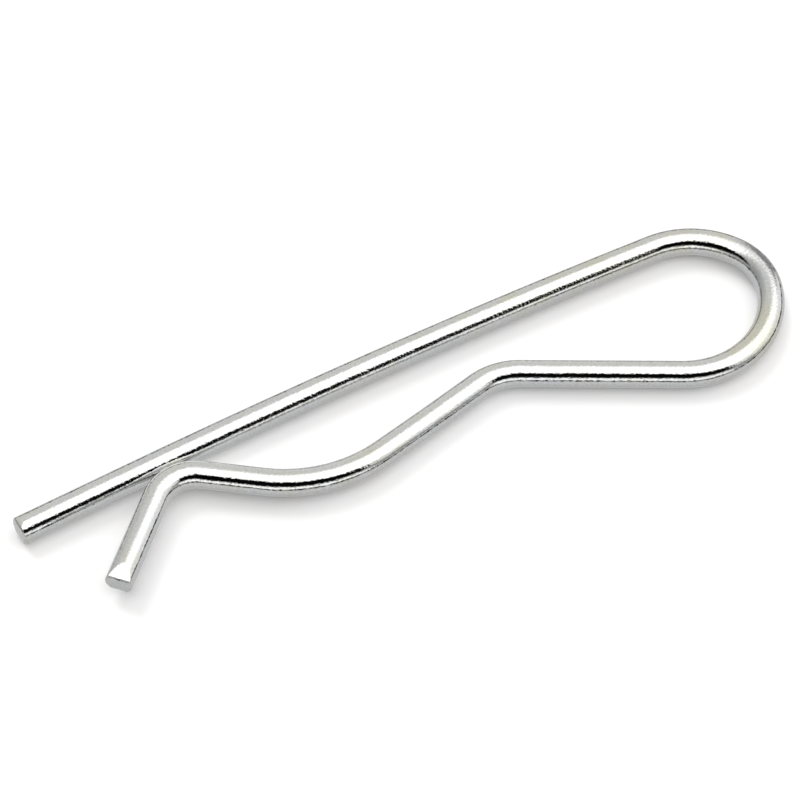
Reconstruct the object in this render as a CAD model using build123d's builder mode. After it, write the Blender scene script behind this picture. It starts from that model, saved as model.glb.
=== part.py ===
from build123d import *
import os
from math import radians, sqrt

# Hitch R clip pin: one round spring wire, bent cold into a straight leg, an open loop and a
# bent leg. The straight leg goes through the cross hole of a shaft, and the bent leg wraps
# round the outside of that shaft and grips it.
# The clip lies flat: X runs along the straight leg from its tip towards the loop, the bent
# leg is on the -Y side, and Z = 0 is the table. The origin is on the shaft's axis.

# Wire
wire_diameter = 4.0
cut_edge = 0.15

# Straight leg: a true straight stretch at the tip, then a slight bow
tip_to_shaft = 47.2
tip_length = 19.0
bow_radius = 1130.0
bow_angle = 4.32

# Open loop: two equal shoulders with a tighter crown between them
shoulder_radius = 13.6
first_shoulder_angle = 55.6
crown_radius = 9.2
crown_angle = 51.2
last_shoulder_angle = 99.5

# Bent leg: run, kink, diagonal, seat for the shaft, rise, hump and flared end
run_length = 23.7
kink_radius = 9.5
kink_angle = 40.9
diagonal_length = 18.1
seat_radius = 22.1
seat_angle = 47.35
rise_length = 8.9
hump_radius = 6.0
hump_angle = 79.0
flare_length = 15.2

# From the middle of the diagonal, the bent leg is set up off the table,
# so its hump rides up on the straight leg
set_radius = 40.0
set_angle = 1.5

wire_radius = wire_diameter / 2
half_diagonal = (diagonal_length - set_radius * radians(set_angle)) / 2
# The bow has left the tip's line by this much where it passes the shaft's axis
bow_at_shaft = bow_radius - sqrt(bow_radius**2 - (tip_to_shaft - tip_length) ** 2)

os.makedirs("parts", exist_ok=True)

# Flat part of the centre line, from the tip to the middle of the diagonal
with BuildLine(Plane.XY.offset(wire_radius)) as flat_path:
    tip = PolarLine((-tip_to_shaft, bow_at_shaft), tip_length, angle=0)
    bow = JernArc(tip @ 1, tip % 1, bow_radius, -bow_angle)
    first_shoulder = JernArc(bow @ 1, bow % 1, shoulder_radius, -first_shoulder_angle)
    crown = JernArc(first_shoulder @ 1, first_shoulder % 1, crown_radius, -crown_angle)
    last_shoulder = JernArc(crown @ 1, crown % 1, shoulder_radius, -last_shoulder_angle)
    run = PolarLine(last_shoulder @ 1, run_length, direction=last_shoulder % 1)
    kink = JernArc(run @ 1, run % 1, kink_radius, kink_angle)
    inner_diagonal = PolarLine(kink @ 1, half_diagonal, direction=kink % 1)

# Short upward bend, in the upright plane that holds the diagonal
heading = inner_diagonal % 1
across = Vector(0, 0, 1).cross(heading)
with BuildLine(Plane(inner_diagonal @ 1, x_dir=heading, z_dir=-across)) as set_path:
    set_bend = JernArc(inner_diagonal @ 1, heading, set_radius, set_angle)

# Raised part of the centre line, in the sloping plane that the upward bend leads into
raised_plane = Plane(set_bend @ 1, x_dir=set_bend % 1, z_dir=(set_bend % 1).cross(across))
with BuildLine(raised_plane) as raised_path:
    outer_diagonal = PolarLine(set_bend @ 1, half_diagonal, direction=set_bend % 1)
    seat = JernArc(outer_diagonal @ 1, outer_diagonal % 1, seat_radius, -seat_angle)
    rise = PolarLine(seat @ 1, rise_length, direction=seat % 1)
    hump = JernArc(rise @ 1, rise % 1, hump_radius, hump_angle)
    flare = PolarLine(hump @ 1, flare_length, direction=hump % 1)

# The wire: its round section carried along the whole centre line
centre_line = Wire(flat_path.edges() + set_path.edges() + raised_path.edges())
with BuildPart() as r_clip:
    with BuildSketch(Plane(tip @ 0, z_dir=tip % 0)):
        Circle(wire_radius)
    sweep(path=centre_line)
    # The shear leaves a flat face with a broken edge at each end
    cut_faces = r_clip.faces().filter_by(GeomType.PLANE)
    chamfer(cut_faces.edges(), cut_edge)

r_clip.part.label = "r_clip"
export_step(r_clip.part, "parts/r_clip.step")
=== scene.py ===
"""Looks of the hitch R clip pin: one bright zinc-plated spring wire on a pale table."""
from collections import namedtuple
from math import cos, pi, radians, sin, sqrt

import bmesh
import bpy
from bpy.props import FloatProperty, FloatVectorProperty, IntProperty, PointerProperty
from bpy.types import Operator, Panel, PropertyGroup
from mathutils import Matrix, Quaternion, Vector


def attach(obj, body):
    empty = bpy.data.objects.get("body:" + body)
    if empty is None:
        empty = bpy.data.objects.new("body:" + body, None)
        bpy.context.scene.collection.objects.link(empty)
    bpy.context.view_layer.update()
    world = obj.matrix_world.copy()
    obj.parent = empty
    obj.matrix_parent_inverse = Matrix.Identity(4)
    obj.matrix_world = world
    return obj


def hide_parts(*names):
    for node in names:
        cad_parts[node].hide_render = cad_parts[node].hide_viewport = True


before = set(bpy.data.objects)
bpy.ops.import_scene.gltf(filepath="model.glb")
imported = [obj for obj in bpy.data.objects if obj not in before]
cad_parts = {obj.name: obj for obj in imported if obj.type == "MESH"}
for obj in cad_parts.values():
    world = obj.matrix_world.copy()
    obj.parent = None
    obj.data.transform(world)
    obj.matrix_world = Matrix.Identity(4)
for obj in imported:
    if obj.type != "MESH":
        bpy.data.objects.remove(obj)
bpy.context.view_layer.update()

bl_info = {
    "name": "Hitch R clip pin",
    "version": (1, 0, 0),
    "blender": (4, 5, 0),
    "location": "3D View > Sidebar > R clip",
    "description": "Makes a hitch R clip pin of bright zinc-plated spring wire, and its studio",
    "category": "Object",
}


def mm(size):
    """Millimetres as metres, which every length in this file is in."""
    return size / 1000


def colour(hex_code):
    """An sRGB hex colour as the linear colour that Blender's sockets take."""
    channels = [int(hex_code[i : i + 2], 16) / 255 for i in (0, 2, 4)]
    return [c / 12.92 if c <= 0.04045 else ((c + 0.055) / 1.055) ** 2.4 for c in channels]


def length_of(name, description, size):
    return FloatProperty(name=name, description=description, default=mm(size), min=0, unit="LENGTH")


def angle_of(name, description, degrees):
    return FloatProperty(name=name, description=description, default=radians(degrees), unit="ROTATION")


def colour_of(name, description, hex_code):
    return FloatVectorProperty(
        name=name, description=description, default=colour(hex_code), min=0, max=1, size=3, subtype="COLOR"
    )


# Sizes and colours


class RClipWireSizes(PropertyGroup):
    """The clip's wire and its bends, in the order in which they follow each other from the tip."""

    wire_diameter: length_of("Wire diameter", "Diameter of the round spring wire", 4.0)
    tip_edge: length_of("Tip edge", "Rolled edge round the tip's cut", 0.28)
    flare_edge: length_of("Flare edge", "Rolled edge round the flared end's cut", 0.10)
    tip_pinch: length_of("Tip pinch", "How deep the shear's blades bit into the tip", 0.25)
    tip_pinch_length: length_of("Tip pinch length", "Length of the tip's pinched faces", 0.9)
    flare_pinch: length_of("Flare pinch", "How deep the shear's upper blade bit into the flared end", 1.0)
    flare_pinch_length: length_of("Flare pinch length", "Length of the flared end's pinched faces", 2.3)
    tip_to_shaft: length_of("Tip to shaft", "From the tip to the axis of the shaft in the clip", 47.2)
    tip_length: length_of("Tip", "Straight stretch at the tip", 19.0)
    bow_radius: length_of("Bow radius", "Radius of the straight leg's slight bow", 1130.0)
    bow_angle: angle_of("Bow angle", "Turn of the slight bow", 4.32)
    shoulder_radius: length_of("Shoulder radius", "Radius of the loop's two shoulders", 13.6)
    first_shoulder_angle: angle_of("First shoulder", "Turn of the shoulder after the straight leg", 55.6)
    crown_radius: length_of("Crown radius", "Radius of the tighter bend at the end of the loop", 9.2)
    crown_angle: angle_of("Crown", "Turn of the loop's crown", 51.2)
    last_shoulder_angle: angle_of("Last shoulder", "Turn of the shoulder before the bent leg", 99.5)
    run_length: length_of("Run", "Straight run from the loop to the kink", 23.7)
    kink_radius: length_of("Kink radius", "Radius of the outward kink", 9.5)
    kink_angle: angle_of("Kink", "Turn of the outward kink", 40.9)
    diagonal_length: length_of("Diagonal", "Straight stretch from the kink to the seat", 18.1)
    set_radius: length_of("Set radius", "Radius of the slight upward bend in the diagonal", 40.0)
    set_angle: angle_of("Set", "Upward set that lets the hump ride up on the straight leg", 1.5)
    seat_radius: length_of("Seat radius", "Radius of the wire's line round the shaft", 22.1)
    seat_angle: angle_of("Seat", "Turn of the seat", 47.35)
    rise_length: length_of("Rise", "Straight stretch from the seat to the hump", 8.9)
    hump_radius: length_of("Hump radius", "Radius of the hump beside the straight leg", 6.0)
    hump_angle: angle_of("Hump", "Turn of the hump", 79.0)
    flare_length: length_of("Flare", "Straight flared end", 15.2)
    ring_spacing: length_of("Ring spacing", "Distance between the mesh's rings along the wire", 0.3)
    ring_sides: IntProperty(name="Ring sides", description="Faces round the wire", default=72, min=12)


class RClipFinish(PropertyGroup):
    """The clip's plating."""

    plating: colour_of("Plating", "Colour of the bright zinc plating", "DCDCDB")
    yellow_film: colour_of("Yellow film", "Colour under the thicker, yellowish passive film", "D9D8CB")
    blue_film: colour_of("Blue film", "Colour under the thinner, bluish passive film", "D8DADC")
    film_patch: length_of("Film patch", "Size of the patches in which the film's thickness varies", 4.0)
    crystal_size: length_of("Crystal size", "Size of the mottling that the plating's crystals give", 0.3)
    ripple_size: length_of("Ripple size", "Size of the plating's ripples", 0.34)
    ripple_depth: length_of("Ripple depth", "Depth of the plating's ripples", 0.024)


class RClipStudio(PropertyGroup):
    """The table, the light and the camera."""

    table: colour_of("Table", "Colour of the table", "F4F3F3")
    table_lift: FloatProperty(
        name="Table lift", description="How bright the camera sees the lit table, as a share", default=0.96
    )
    # Painted light: a glow on the table that only the camera sees, which lightens the clip's shadow
    table_glow: FloatProperty(
        name="Table glow", description="Light from the room that the clip does not shade", default=0.10
    )
    # Painted reflection: the colour that the plating sees in place of the lit table
    painted_table_reflection: colour_of("Table in the metal", "Colour of the table in the plating", "DFE0E1")
    table_side: length_of("Table side", "Side of the square table top", 3000.0)
    aim: FloatVectorProperty(
        name="Aim",
        description="Point in the middle of the picture",
        default=(mm(10.8), mm(-7.5), mm(2.0)),
        unit="LENGTH",
    )
    camera_distance: length_of("Camera distance", "From the camera to the aim", 519.0)
    camera_azimuth: angle_of("Camera azimuth", "Turn of the camera about the vertical", -30.23)
    camera_elevation: angle_of("Camera elevation", "Height of the camera above the table", 56.0)
    camera_lens: FloatProperty(name="Lens", description="Focal length, in millimetres", default=160.9)
    camera_sensor: FloatProperty(name="Sensor", description="Its width, in millimetres", default=36.0)
    shade_light: FloatProperty(
        name="Shade light", description="Strength of the light that gives the long soft shadow", default=1.3
    )
    shade_light_azimuth: angle_of("Shade light azimuth", "Turn of that light about the vertical", 182.0)
    shade_light_elevation: angle_of("Shade light elevation", "Height of that light above the table", 44.0)
    shade_light_size: angle_of("Shade light size", "How wide that light looks from the table", 30.0)


def out_along(azimuth, elevation):
    """Unit vector from the table towards something at this turn and height."""
    return Vector((sin(azimuth) * cos(elevation), -cos(azimuth) * cos(elevation), sin(elevation)))


# Shape


# A place on the centre line, the wire's heading and upper side there, and its distance from the tip
Station = namedtuple("Station", "place heading up gone")


class CentreLine:
    """The line that the wire's centre follows, laid down one run or bend at a time."""

    def __init__(self, place, spacing):
        self.place, self.heading, self.up = Vector(place), Vector((1, 0, 0)), Vector((0, 0, 1))
        self.gone, self.spacing = 0.0, spacing
        self.stations = []
        self._note_station()

    def _note_station(self):
        station = Station(self.place.copy(), self.heading.copy(), self.up.copy(), self.gone)
        self.stations.append(station)

    def _step(self, move, length):
        self.place = self.place + move
        self.gone += length
        self._note_station()

    def run(self, length):
        """Goes straight on."""
        steps = max(1, round(length / self.spacing))
        for _ in range(steps):
            self._step(self.heading * (length / steps), length / steps)

    def bend(self, radius, angle, upright=False):
        """Turns left by the angle, or up if upright. A negative angle turns right."""
        steps = max(2, round(radius * abs(angle) / self.spacing))
        axis = self.heading.cross(self.up) if upright else self.up.copy()
        turn = angle / steps
        for _ in range(steps):
            chord = Quaternion(axis, turn / 2) @ self.heading
            self.heading = (Quaternion(axis, turn) @ self.heading).normalized()
            self.up = (Quaternion(axis, turn) @ self.up).normalized()
            self._step(chord * (2 * radius * sin(abs(turn) / 2)), radius * abs(turn))


def clip_centre_line(wire):
    """The whole clip: straight leg, open loop and bent leg."""
    bow_at_shaft = wire.bow_radius - sqrt(wire.bow_radius**2 - (wire.tip_to_shaft - wire.tip_length) ** 2)
    half_diagonal = (wire.diagonal_length - wire.set_radius * wire.set_angle) / 2
    line = CentreLine((-wire.tip_to_shaft, bow_at_shaft, wire.wire_diameter / 2), wire.ring_spacing)
    line.run(wire.tip_length)
    line.bend(wire.bow_radius, -wire.bow_angle)
    line.bend(wire.shoulder_radius, -wire.first_shoulder_angle)
    line.bend(wire.crown_radius, -wire.crown_angle)
    line.bend(wire.shoulder_radius, -wire.last_shoulder_angle)
    line.run(wire.run_length)
    line.bend(wire.kink_radius, wire.kink_angle)
    line.run(half_diagonal)
    line.bend(wire.set_radius, wire.set_angle, upright=True)
    line.run(half_diagonal)
    line.bend(wire.seat_radius, -wire.seat_angle)
    line.run(wire.rise_length)
    line.bend(wire.hump_radius, wire.hump_angle)
    line.run(wire.flare_length)
    return line


# A cut's rings on its flat face, as shares of the face's radius, and over its rolled edge, in degrees
FACE_RINGS = (0.3, 0.6, 0.85, 1.0)
ROLLED_RINGS = (75.6, 60, 45, 30, 15, 0)
# How deep the shear's lower blade bit, next to the upper one
LOWER_BLADE = 0.5
# Height of a torn face's waves, next to the wire's radius
TEAR = 0.02


def wire_mesh(name, line, wire):
    """Skins the centre line with a round tube whose two ends are pinched and sheared off.

    Its UV map runs along the wire in U and round it in V, with the seam on the under side."""
    radius, sides = wire.wire_diameter / 2, wire.ring_sides

    def cut(edge):
        """A cut's rings: (distance from the end, radius), out from its middle and over its rolled edge."""
        made = [(0, (radius - edge) * share) for share in FACE_RINGS]
        for turn in map(radians, ROLLED_RINGS):
            made.append((edge * (1 - sin(turn)), radius - edge * (1 - cos(turn))))
        return made

    rings = cut(wire.tip_edge)
    last_plain = line.gone - wire.flare_edge
    rings += [(s.gone, radius) for s in line.stations if wire.tip_edge < s.gone < last_plain]
    rings += [(line.gone - along, r) for along, r in reversed(cut(wire.flare_edge))]

    def station_at(along):
        """Place, heading and upper side at this distance from the tip, between the two nearest stations."""
        last = len(line.stations) - 1
        after = next((i for i, station in enumerate(line.stations) if station.gone >= along), last)
        a, b = line.stations[max(after - 1, 0)], line.stations[after]
        share = 0 if b.gone == a.gone else (along - a.gone) / (b.gone - a.gone)
        heading = a.heading.lerp(b.heading, share).normalized()
        up = a.up.lerp(b.up, share).normalized()
        return a.place.lerp(b.place, share), heading, up

    def half_height(along, lower):
        """Half the wire's height, which each end's pinched faces bring down; the lower blade bit less."""
        tip = wire.tip_pinch * max(0, 1 - along / wire.tip_pinch_length)
        flare = wire.flare_pinch * max(0, 1 - (line.gone - along) / wire.flare_pinch_length)
        return radius - (tip + flare) * (LOWER_BLADE if lower else 1.0)

    built = bmesh.new()
    loops = []
    for along, ring_radius in rings:
        place, heading, up = station_at(along)
        side = heading.cross(up)
        top, bottom = (half_height(along, lower) * ring_radius / radius for lower in (False, True))
        # The shear leaves a slightly uneven face
        tear = TEAR * radius if along < wire.tip_edge or along > last_plain else 0
        loop = []
        for i in range(sides):
            turn = 2 * pi * i / sides
            # The first point is the lowest, so the seam lies on the table
            across, rise = sin(turn) * ring_radius, -cos(turn) * ring_radius
            rise = max(-bottom, min(top, rise))
            waves = sin(3 * turn + 0.7) + 0.6 * sin(7 * turn + 2.1) + 1.6
            inward = tear * waves * (ring_radius / radius) ** 3
            back = heading * (inward if along < line.gone / 2 else -inward)
            loop.append(built.verts.new(place + side * across + up * rise + back))
        loops.append(loop)
    uv = built.loops.layers.uv.new("wire")

    def face(verts, places):
        made = built.faces.new(verts)
        made.smooth = True
        for loop, place in zip(made.loops, places):
            loop[uv].uv = place

    for k in range(len(rings) - 1):
        u0, u1 = rings[k][0] / line.gone, rings[k + 1][0] / line.gone
        for i in range(sides):
            j = (i + 1) % sides
            v0, v1 = i / sides, (i + 1) / sides
            face(
                (loops[k][i], loops[k + 1][i], loops[k + 1][j], loops[k][j]),
                ((u0, v0), (u1, v0), (u1, v1), (u0, v1)),
            )
    for k, end in ((0, 0.0), (-1, 1.0)):
        middle = built.verts.new(line.stations[k].place)
        for i in range(sides):
            j = (i + 1) % sides
            order = (middle, loops[k][i], loops[k][j]) if k == 0 else (middle, loops[k][j], loops[k][i])
            face(order, [(end, (i + 0.5) / sides)] * 3)
    bmesh.ops.recalc_face_normals(built, faces=built.faces)
    mesh = bpy.data.meshes.new(name)
    built.to_mesh(mesh)
    built.free()
    return mesh


# Finish


def add(tree, kind, inputs=None, **settings):
    """Adds one node, with its settings and with what goes into its sockets."""
    node = tree.nodes.new(kind)
    for name, value in settings.items():
        setattr(node, name, value)
    for name, value in (inputs or {}).items():
        if isinstance(value, bpy.types.NodeSocket):
            tree.links.new(value, node.inputs[name])
        else:
            node.inputs[name].default_value = value
    return node


def set_stops(ramp, stops):
    """Gives a new colour ramp these grey stops, each a (place, level), the first of them at 0."""
    ramp.elements.remove(ramp.elements[-1])
    for place, level in stops:
        stop = ramp.elements[0] if place == 0 else ramp.elements.new(place)
        stop.color = (level, level, level, 1)


# Passive film from bluish (0) to yellowish (1), at shares of the wire's length from the tip
FILM_ALONG_WIRE = (
    (0, 0.5),
    (0.10, 0.35),
    (0.28, 0.55),
    (0.38, 0.75),
    (0.46, 0.7),
    (0.50, 0.2),
    (0.545, 1.0),
    (0.59, 0.5),
    (0.72, 0.45),
    (0.8, 0.6),
    (1, 0.5),
)


def bright_zinc_plate(finish):
    """Bright electroplated zinc on drawn spring wire, with a clear passive film.

    It is a pale mirror whose fine ripples give reflections ragged edges, and the film tints
    it here and there."""
    material = bpy.data.materials.new("bright_zinc_plate")
    material.use_nodes = True
    tree = material.node_tree
    tree.nodes.clear()

    place = add(tree, "ShaderNodeTexCoord")

    def grain(size, **inputs):
        """Noise whose grains have this real size."""
        at = add(
            tree,
            "ShaderNodeVectorMath",
            {0: place.outputs["Object"], "Scale": 1 / size},
            operation="SCALE",
        )
        noise = add(tree, "ShaderNodeTexNoise", {"Vector": at.outputs[0], "Scale": 1.0, **inputs})
        return noise.outputs["Fac"]

    along = add(tree, "ShaderNodeUVMap", uv_map="wire")
    parts = add(tree, "ShaderNodeSeparateXYZ", {"Vector": along.outputs["UV"]})

    # The film's hue changes slowly along the wire, and in patches on top of that
    film = add(tree, "ShaderNodeValToRGB", {"Fac": parts.outputs["X"]})
    film.color_ramp.interpolation = "EASE"
    set_stops(film.color_ramp, FILM_ALONG_WIRE)
    patches = add(
        tree,
        "ShaderNodeMapRange",
        {"Value": grain(finish.film_patch, Detail=2.0), "To Min": -0.6, "To Max": 0.6},
        clamp=False,
    )
    film_hue = add(
        tree,
        "ShaderNodeMath",
        {0: film.outputs["Color"], 1: patches.outputs["Result"]},
        operation="ADD",
    )
    tinted = add(tree, "ShaderNodeValToRGB", {"Fac": film_hue.outputs[0]})
    stops = tinted.color_ramp.elements
    stops[0].color, stops[1].color = (*finish.blue_film, 1), (*finish.yellow_film, 1)
    stops.new(0.5).color = (*finish.plating, 1)

    # Mottling that the plating's crystals give, drawn coarser than it is so that it shows
    mottle = add(
        tree,
        "ShaderNodeMapRange",
        {
            "Value": grain(finish.crystal_size, Detail=3.0, Roughness=0.7),
            "From Min": 0.3,
            "From Max": 0.7,
            "To Min": 0.86,
            "To Max": 1.06,
        },
    )
    shade = add(
        tree,
        "ShaderNodeVectorMath",
        {0: tinted.outputs["Color"], "Scale": mottle.outputs["Result"]},
        operation="SCALE",
    )

    # Ripples of the drawn wire under the plating, also drawn coarser than they are so that they show
    ripples = grain(finish.ripple_size, Detail=1.0, Roughness=0.5)
    relief = add(
        tree,
        "ShaderNodeBump",
        {"Height": ripples, "Strength": 1.0, "Distance": finish.ripple_depth},
    )
    # The roughness is low because the ripples do most of the blurring
    shader = add(
        tree,
        "ShaderNodeBsdfPrincipled",
        {
            "Base Color": shade.outputs["Vector"],
            "Metallic": 1.0,
            "Roughness": 0.045,
            "Normal": relief.outputs["Normal"],
        },
    )
    add(tree, "ShaderNodeOutputMaterial", {"Surface": shader.outputs["BSDF"]})
    return material


# Brightness of the table's painted reflection, which only the plating sees, from straight above (0) to
# edge-on (1).
# At a grazing angle a thin dark strip is painted in, a painted reflection of the dark gap under the card in
# front
PAINTED_REFLECTION_BY_ANGLE = (
    (0, 0.78),
    (0.5, 1.0),
    (0.68, 0.95),
    (0.775, 0.85),
    (0.805, 0.0),
    (0.905, 0.0),
    (0.93, 0.95),
    (1, 1.0),
)


def matt_white_table(studio):
    """Matt white laminate. The camera sees it as the white background with a soft shadow on it.
    The metal sees a painted reflection: one pale sheet with no shadow, and a painted thin dark strip at a
    grazing angle."""
    material = bpy.data.materials.new("matt_white_table")
    material.use_nodes = True
    tree = material.node_tree
    tree.nodes.clear()
    lit = add(tree, "ShaderNodeBsdfDiffuse", {"Color": (*studio.table, 1)})
    lifted = (*(channel * studio.table_lift for channel in studio.table), 1)
    seen_lit = add(tree, "ShaderNodeBsdfDiffuse", {"Color": lifted})
    # Painted light: this glow lightens the clip's shadow on the table as the camera sees it
    glow = add(tree, "ShaderNodeEmission", {"Color": (1, 1, 1, 1), "Strength": studio.table_glow})
    seen_table = add(tree, "ShaderNodeAddShader", {0: seen_lit.outputs[0], 1: glow.outputs[0]})
    grazing = add(tree, "ShaderNodeLayerWeight")
    strip = add(tree, "ShaderNodeValToRGB", {"Fac": grazing.outputs["Facing"]})
    set_stops(strip.color_ramp, PAINTED_REFLECTION_BY_ANGLE)
    # Painted reflection: glossy rays see the table glow in this colour, lighter or darker by angle and dark
    # in the strip, instead of its real light and shade
    painted_reflection = add(
        tree,
        "ShaderNodeEmission",
        {"Color": (*studio.painted_table_reflection, 1), "Strength": strip.outputs["Color"]},
    )
    seen = add(tree, "ShaderNodeLightPath")
    to_camera = add(
        tree,
        "ShaderNodeMixShader",
        {0: seen.outputs["Is Camera Ray"], 1: lit.outputs[0], 2: seen_table.outputs[0]},
    )
    surface = add(
        tree,
        "ShaderNodeMixShader",
        {0: seen.outputs["Is Glossy Ray"], 1: to_camera.outputs[0], 2: painted_reflection.outputs[0]},
    )
    add(tree, "ShaderNodeOutputMaterial", {"Surface": surface.outputs[0]})
    return material


class StudioRoom:
    """The room round the table, as flat cards of light and dark that only the world holds.

    Directions are (towards the camera, to its right, up), so a card's straight edge is the
    plane through the table's middle that has the edge in it."""

    def __init__(self, world, azimuth):
        world.use_nodes = True
        self.tree = world.node_tree
        self.tree.nodes.clear()
        place = add(self.tree, "ShaderNodeTexCoord")
        turned = add(
            self.tree,
            "ShaderNodeVectorRotate",
            {"Vector": place.outputs["Generated"], "Angle": -azimuth},
            rotation_type="Z_AXIS",
        )
        # After the turn, the camera is on the -Y side and its right is +X
        parts = add(self.tree, "ShaderNodeSeparateXYZ", {"Vector": turned.outputs[0]})
        front = add(self.tree, "ShaderNodeMath", {0: parts.outputs["Y"], 1: -1.0}, operation="MULTIPLY")
        self.direction = add(
            self.tree,
            "ShaderNodeCombineXYZ",
            {"X": front.outputs[0], "Y": parts.outputs["X"], "Z": parts.outputs["Z"]},
        ).outputs[0]
        self.light = None

    def side_of(self, facing, low, high):
        """0 on the side of the edge's plane that it faces away from and 1 on the other.

        Low and high are the sines of the angles from that plane between which it changes."""
        off_edge = add(
            self.tree,
            "ShaderNodeVectorMath",
            {0: self.direction, 1: Vector(facing).normalized()},
            operation="DOT_PRODUCT",
        )
        return add(
            self.tree,
            "ShaderNodeMapRange",
            {"Value": off_edge.outputs["Value"], "From Min": low, "From Max": high},
            interpolation_type="SMOOTHSTEP",
        ).outputs["Result"]

    def card(self, level, *edges):
        """Lays a card of one light level over what is there, inside all of its edges.

        The first card has no edges and is the whole room."""
        shade = (level, level, level, 1) if isinstance(level, float) else (*level, 1)
        if self.light is None:
            self.light = add(self.tree, "ShaderNodeRGB").outputs[0]
            self.light.default_value = shade
            return
        inside = None
        for facing, low, high in edges:
            mask = self.side_of(facing, low, high)
            if inside is not None:
                both = add(self.tree, "ShaderNodeMath", {0: inside, 1: mask}, operation="MULTIPLY")
                mask = both.outputs[0]
            inside = mask
        # A colour mix takes its two colours in sockets 6 and 7 and gives the result in socket 2
        mixed = add(
            self.tree,
            "ShaderNodeMix",
            {0: inside, 6: self.light, 7: shade},
            data_type="RGBA",
        )
        self.light = mixed.outputs[2]

    def finish(self):
        """The camera sees plain white where the table ends. All else sees the room."""
        room = add(self.tree, "ShaderNodeBackground", {"Color": self.light, "Strength": 1.0})
        white = add(self.tree, "ShaderNodeBackground", {"Color": (1, 1, 1, 1), "Strength": 1.0})
        seen = add(self.tree, "ShaderNodeLightPath")
        mixed = add(
            self.tree,
            "ShaderNodeMixShader",
            {0: seen.outputs["Is Camera Ray"], 1: room.outputs[0], 2: white.outputs[0]},
        )
        add(self.tree, "ShaderNodeOutputWorld", {"Surface": mixed.outputs[0]})


# Operators


class RCLIP_OT_make_wire(Operator):
    """Makes the clip: one length of wire along its runs and bends, in bright zinc plate"""

    bl_idname = "rclip.make_wire"
    bl_label = "Make the R clip"

    def execute(self, context):
        wire, finish = context.scene.rclip_wire, context.scene.rclip_finish
        if max(wire.tip_edge, wire.flare_edge) >= wire.wire_diameter / 2:
            raise ValueError("the cut edge is larger than the wire's radius")
        line = clip_centre_line(wire)
        clip = bpy.data.objects.new("wire_clip", wire_mesh("wire_clip", line, wire))
        context.scene.collection.objects.link(clip)
        clip.data.materials.append(bright_zinc_plate(finish))
        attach(clip, "root")
        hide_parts("r_clip")
        return {"FINISHED"}


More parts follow.
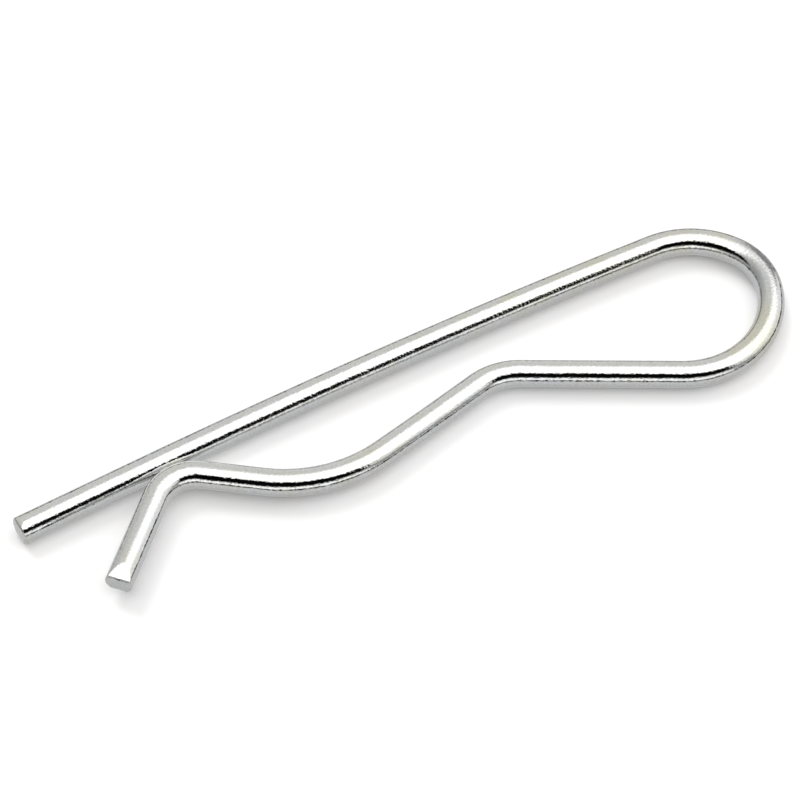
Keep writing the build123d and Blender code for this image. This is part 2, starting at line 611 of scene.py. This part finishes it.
class RCLIP_OT_set_studio(Operator):
    """Sets up the table, the soft light and the camera"""

    bl_idname = "rclip.set_studio"
    bl_label = "Set up the studio"

    def execute(self, context):
        scene, studio = context.scene, context.scene.rclip_studio
        half = studio.table_side / 2
        mesh = bpy.data.meshes.new("table_top")
        corners = [(-half, -half, 0), (half, -half, 0), (half, half, 0), (-half, half, 0)]
        mesh.from_pydata(corners, [], [(0, 1, 2, 3)])
        table = bpy.data.objects.new("table_top", mesh)
        scene.collection.objects.link(table)
        mesh.materials.append(matt_white_table(studio))

        azimuth, elevation = studio.camera_azimuth, studio.camera_elevation
        scene.world = bpy.data.worlds.new("studio_room")
        room = StudioRoom(scene.world, azimuth)
        # Pale back wall, which falls off to the left and has a dim corner on the right
        room.card((0.80, 0.80, 0.78))
        room.card(0.32, ((0, -1, 0), 0.30, 1.20))
        room.card(
            0.30,
            ((0.36, 0.933, 0), -0.10, 0.06),
            ((-0.643, 0, -0.766), -0.13, -0.01),
            ((0, -1, 0), -0.74, -0.60),
        )
        # Right wall: white behind, dim in front
        room.card(1.0, ((0, 1, 0), 0.60, 0.78))
        room.card(0.38, ((0, 1, 0), 0.60, 0.72), ((0.574, 0.0, -0.819), -0.16, 0.12))
        # Dark gap under the overhead softbox
        room.card(
            0.002,
            ((0.866, 0.0, -0.5), -0.12, 0.08),
            ((0.69, -0.62, 0.1), -0.05, 0.05),
            ((0, 0, 1), 0.1, 0.4),
        )
        # Low card in front
        room.card(
            1.35,
            ((0.342, 0.400, -0.850), -0.12, 0.16),
            ((0.342, -0.060, -0.940), -0.14, 0.18),
            ((0.766, -0.643, 0), -0.05, 0.05),
            ((0, 1, 0), -0.85, -0.35),
        )
        # Overhead softbox
        room.card(
            1.7,
            ((-0.866, 0.0, 0.5), -0.08, 0.08),
            ((0.335, 0.868, 0.365), -0.26, 0.10),
            ((0.73, 0.577, 0.37), -0.20, 0.18),
            ((0, 0, 1), 0.30, 0.75),
        )
        room.finish()

        # Only the table's shadow needs this light: the plating already mirrors it as part of the softbox
        light = bpy.data.objects.new("shade_light", bpy.data.lights.new("shade_light", "SUN"))
        scene.collection.objects.link(light)
        towards = out_along(studio.shade_light_azimuth, studio.shade_light_elevation)
        light.rotation_euler = towards.to_track_quat("Z", "Y").to_euler()
        light.data.energy = studio.shade_light
        light.data.angle = studio.shade_light_size
        light.visible_glossy = False

        aim = Vector(studio.aim)
        back = out_along(azimuth, elevation)
        camera = bpy.data.objects.new("camera", bpy.data.cameras.new("camera"))
        scene.collection.objects.link(camera)
        camera.location = aim + back * studio.camera_distance
        camera.rotation_euler = back.to_track_quat("Z", "Y").to_euler()
        camera.data.sensor_width = studio.camera_sensor
        camera.data.lens = studio.camera_lens
        camera.data.clip_start = mm(10)
        scene.camera = camera
        scene.view_settings.view_transform = "Standard"
        return {"FINISHED"}


# Sidebar


class RCLIP_PT_sidebar(Panel):
    """Lists the clip's sizes and finish and the studio"""

    bl_idname = "RCLIP_PT_sidebar"
    bl_label = "Hitch R clip pin"
    bl_space_type = "VIEW_3D"
    bl_region_type = "UI"
    bl_category = "R clip"

    def draw(self, context):
        groups = (
            (context.scene.rclip_wire, RCLIP_OT_make_wire),
            (context.scene.rclip_finish, None),
            (context.scene.rclip_studio, RCLIP_OT_set_studio),
        )
        for group, operator in groups:
            box = self.layout.box()
            for name in group.__annotations__:
                box.prop(group, name)
            if operator:
                box.operator(operator.bl_idname)


CLASSES = (
    RClipWireSizes,
    RClipFinish,
    RClipStudio,
    RCLIP_OT_make_wire,
    RCLIP_OT_set_studio,
    RCLIP_PT_sidebar,
)


def register():
    for cls in CLASSES:
        bpy.utils.register_class(cls)
    bpy.types.Scene.rclip_wire = PointerProperty(type=RClipWireSizes)
    bpy.types.Scene.rclip_finish = PointerProperty(type=RClipFinish)
    bpy.types.Scene.rclip_studio = PointerProperty(type=RClipStudio)


def unregister():
    del bpy.types.Scene.rclip_studio
    del bpy.types.Scene.rclip_finish
    del bpy.types.Scene.rclip_wire
    for cls in reversed(CLASSES):
        bpy.utils.unregister_class(cls)


def main():
    register()
    bpy.ops.rclip.make_wire()
    bpy.ops.rclip.set_studio()


if __name__ == "__main__":
    main()
